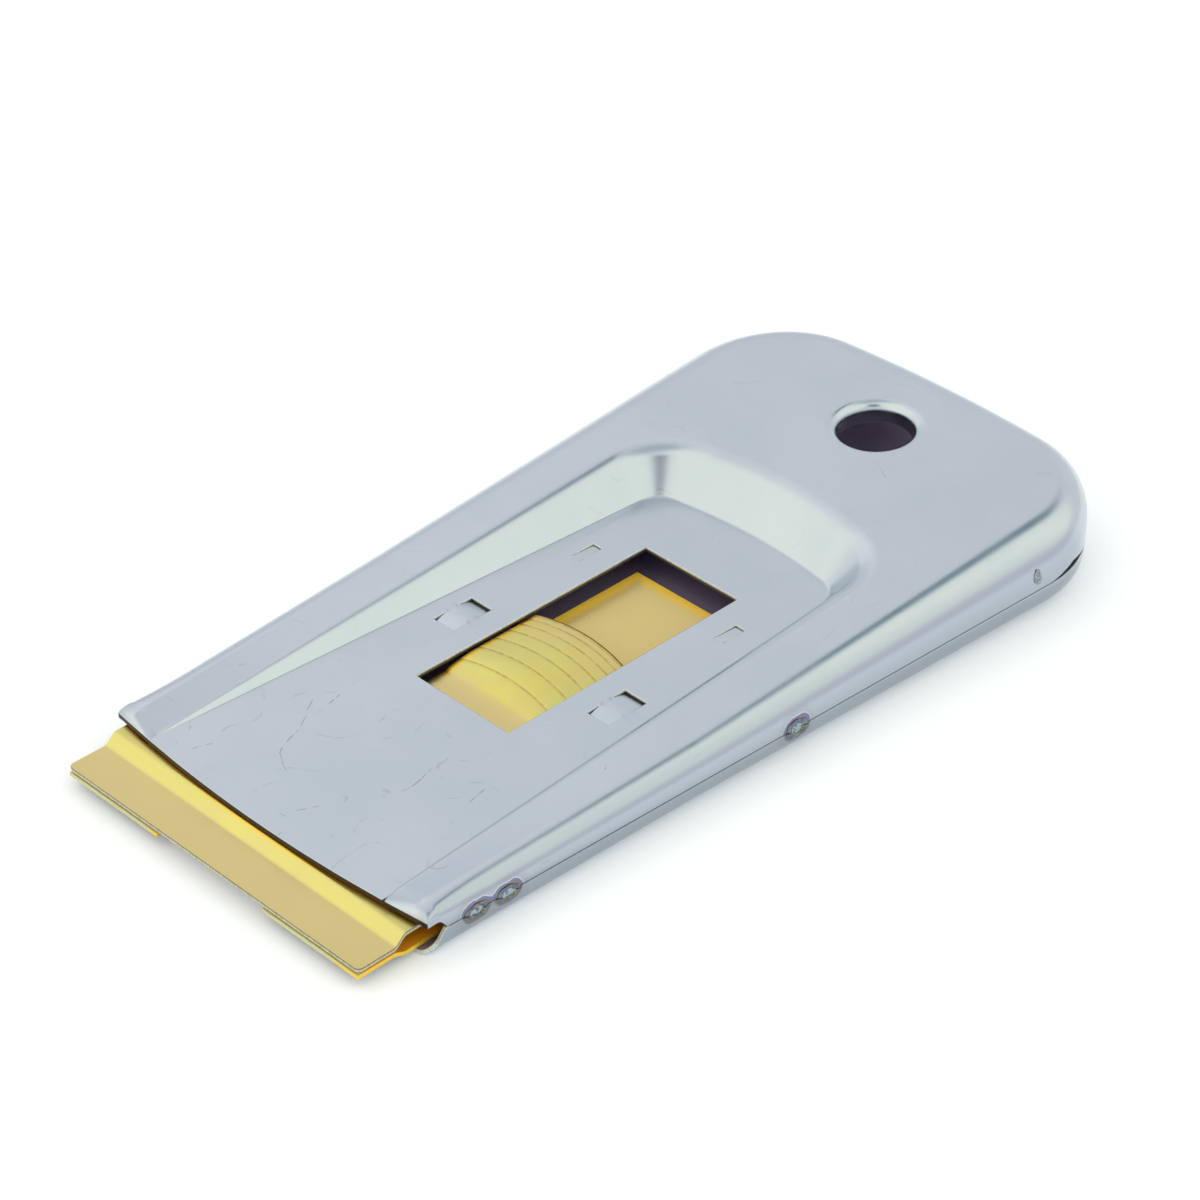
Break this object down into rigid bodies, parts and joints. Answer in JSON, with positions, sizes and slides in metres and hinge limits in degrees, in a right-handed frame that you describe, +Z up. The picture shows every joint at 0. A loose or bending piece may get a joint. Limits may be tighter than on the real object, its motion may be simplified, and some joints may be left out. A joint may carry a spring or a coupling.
{
  "type": "window scraper",
  "caption": "Flat steel-handled window scraper with a sunken thumb floor, a window with a ridged thumb bump, a sliding blade carrier and a hang hole.",
  "frame": {"origin": "centre of the bounding box on the underside of the handle", "axes": "+Y along the handle from the jaws to the hang hole, +Z up from the table, +X across"},
  "size_m": [0.0532, 0.1044, 0.0102],
  "materials": {
    "nickel_steel": "bright nickel plating with fine scratches",
    "yellow_zinc": "yellow chromated zinc, satin",
    "blade_steel": "ground steel",
    "weld_metal": "heat-tinted weld metal"
  },
  "bodies": {
    "handle": {"top_shell": "nickel_steel", "bottom_shell": "nickel_steel", "weld_front_left_a": "weld_metal", "weld_front_left_b": "weld_metal", "weld_mid_left": "weld_metal", "weld_rear_left": "weld_metal", "weld_front_right_a": "weld_metal", "weld_front_right_b": "weld_metal", "weld_mid_right": "weld_metal", "weld_rear_right": "weld_metal"},
    "carrier": {"upper_jaw": "yellow_zinc", "lower_jaw": "yellow_zinc", "carrier_stud_left": "yellow_zinc", "carrier_stud_right": "yellow_zinc"},
    "tongue": {"thumb_tongue": "yellow_zinc"},
    "blade": {"blade": "blade_steel"}
  },
  "joints": [
    {"name": "carrier_slide", "type": "slide", "parent": "handle", "child": "carrier", "axis": [0, 1, 0], "range_m": [0, 0.015]},
    {"name": "thumb_press", "type": "hinge", "parent": "carrier", "child": "tongue", "pos_m": [0, -0.02475, 0.00272], "axis": [-1, 0, 0], "range_deg": [0, 2.5], "stiffness_Nm_per_rad": 1.5},
    {"name": "blade_draw", "type": "slide", "parent": "carrier", "child": "blade", "axis": [0, -1, 0], "range_m": [0, 0.018]}
  ]
}
